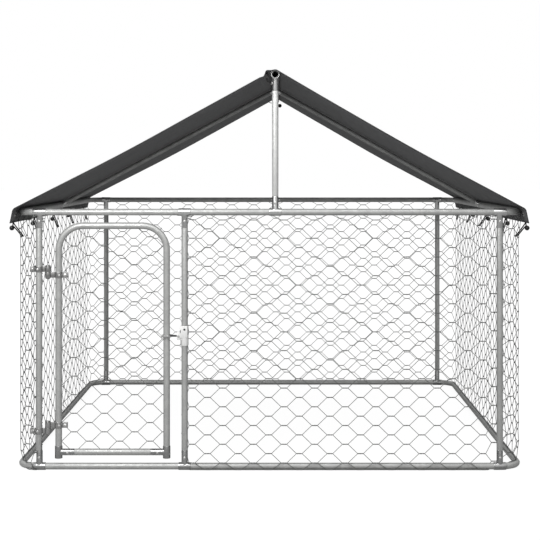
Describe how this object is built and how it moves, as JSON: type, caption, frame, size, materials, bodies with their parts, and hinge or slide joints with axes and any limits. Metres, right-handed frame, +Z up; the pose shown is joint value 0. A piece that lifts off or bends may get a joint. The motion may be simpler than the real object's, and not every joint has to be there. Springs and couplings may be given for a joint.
{
  "type": "dog playpen",
  "caption": "Square outdoor dog playpen of galvanised tube and hexagonal wire net, with an arched gate, fork latch and a pitched fabric roof.",
  "frame": {"origin": "middle of the pen's footprint, at the height of the ground that it stands on", "axes": "+Z up, -Y towards the front with the gate, +X to the right as seen from the front"},
  "size_m": [2.0782, 2.04, 1.5744],
  "materials": {
    "galvanised_steel": "satin",
    "zinc_plate": "satin",
    "galvanised_wire": "satin",
    "roof_fabric": "matte"
  },
  "bodies": {
    "frame": {"bottom_rail_front": "galvanised_steel", "bottom_rail_back": "galvanised_steel", "bottom_rail_left": "galvanised_steel", "bottom_rail_right": "galvanised_steel", "top_rail_front": "galvanised_steel", "top_rail_back": "galvanised_steel", "top_rail_left": "galvanised_steel", "top_rail_right": "galvanised_steel", "foot_fitting_front_left": "galvanised_steel", "foot_fitting_front_right": "galvanised_steel", "foot_fitting_back_left": "galvanised_steel", "foot_fitting_back_right": "galvanised_steel", "foot_fitting_front_middle": "galvanised_steel", "head_fitting_front_left": "galvanised_steel", "head_fitting_front_right": "galvanised_steel", "head_fitting_back_left": "galvanised_steel", "head_fitting_back_right": "galvanised_steel", "head_fitting_front_middle": "galvanised_steel", "post_front_left": "galvanised_steel", "post_front_middle": "galvanised_steel", "post_front_right": "galvanised_steel", "post_back_left": "galvanised_steel", "post_back_right": "galvanised_steel", "pole_foot_front": "galvanised_steel", "pole_front": "galvanised_steel", "ridge_eye_front": "galvanised_steel", "pole_foot_back": "galvanised_steel", "pole_back": "galvanised_steel", "ridge_eye_back": "galvanised_steel", "ridge_tube": "galvanised_steel", "rafter_left": "galvanised_steel", "rafter_right": "galvanised_steel", "rafter_saddle_left": "galvanised_steel", "rafter_saddle_right": "galvanised_steel", "rafter_joint": "galvanised_steel", "hinge_upper_post_leaf": "zinc_plate", "hinge_upper_post_bolt": "zinc_plate", "hinge_upper_pin": "zinc_plate", "hinge_lower_post_leaf": "zinc_plate", "hinge_lower_post_bolt": "zinc_plate", "hinge_lower_pin": "zinc_plate", "latch_collar": "zinc_plate", "latch_pin": "zinc_plate", "net_front": "galvanised_wire", "net_right": "galvanised_wire", "net_back": "galvanised_wire", "net_left": "galvanised_wire", "net_front_left": "galvanised_wire", "roof_cover": "roof_fabric"},
    "gate": {"gate_arch": "galvanised_steel", "gate_bar": "galvanised_steel", "gate_tee_left": "galvanised_steel", "gate_tee_right": "galvanised_steel", "hinge_upper_gate_leaf": "zinc_plate", "hinge_upper_gate_bolt": "zinc_plate", "hinge_lower_gate_leaf": "zinc_plate", "hinge_lower_gate_bolt": "zinc_plate", "gate_net": "galvanised_wire"},
    "latch_fork": {"latch_fork": "zinc_plate"}
  },
  "joints": [
    {"name": "gate_swing", "type": "hinge", "parent": "frame", "child": "gate", "pos_m": [-0.872, -0.987, 0.165], "axis": [0, 0, -1], "range_deg": [0, 120]},
    {"name": "latch_lift", "type": "hinge", "parent": "frame", "child": "latch_fork", "pos_m": [-0.3575, -0.987, 0.527], "axis": [0, 1, 0], "range_deg": [0, 90]}
  ]
}
